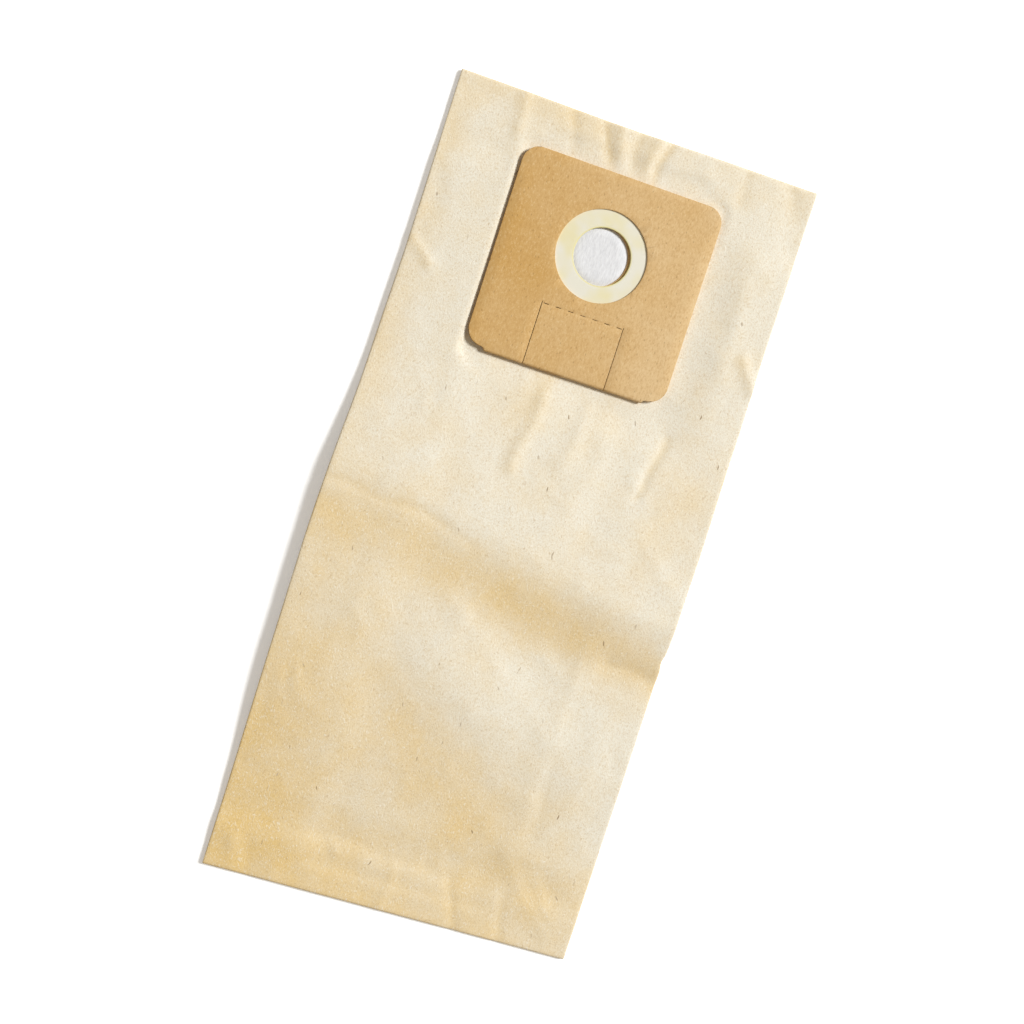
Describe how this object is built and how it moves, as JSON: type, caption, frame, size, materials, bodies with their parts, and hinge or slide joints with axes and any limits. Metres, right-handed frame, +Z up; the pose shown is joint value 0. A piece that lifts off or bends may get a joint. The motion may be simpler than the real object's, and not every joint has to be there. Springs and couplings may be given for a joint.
{
  "type": "vacuum dust bag",
  "caption": "Flat gusseted paper dust bag for a vacuum cleaner, with a fleece lining and a folded card collar that holds a rubber sealing ring round the inlet.",
  "frame": {"origin": "on the surface that the bag lies on, under the middle of its outline", "axes": "+X across the bag, +Y along the bag towards the collar end, +Z up, out of the collar's face"},
  "size_m": [0.23, 0.5, 0.0143],
  "materials": {
    "filter_paper": "uncoated creped filter paper, matt",
    "filter_fleece": "soft non-woven fleece, matt",
    "kraft_card": "plain kraft card, matt",
    "seal_rubber": "smooth cream rubber, satin"
  },
  "bodies": {
    "root": {"paper_bag": "filter_paper", "fleece_lining": "filter_fleece", "collar_card": "kraft_card", "sealing_ring": "seal_rubber"}
  },
  "joints": []
}
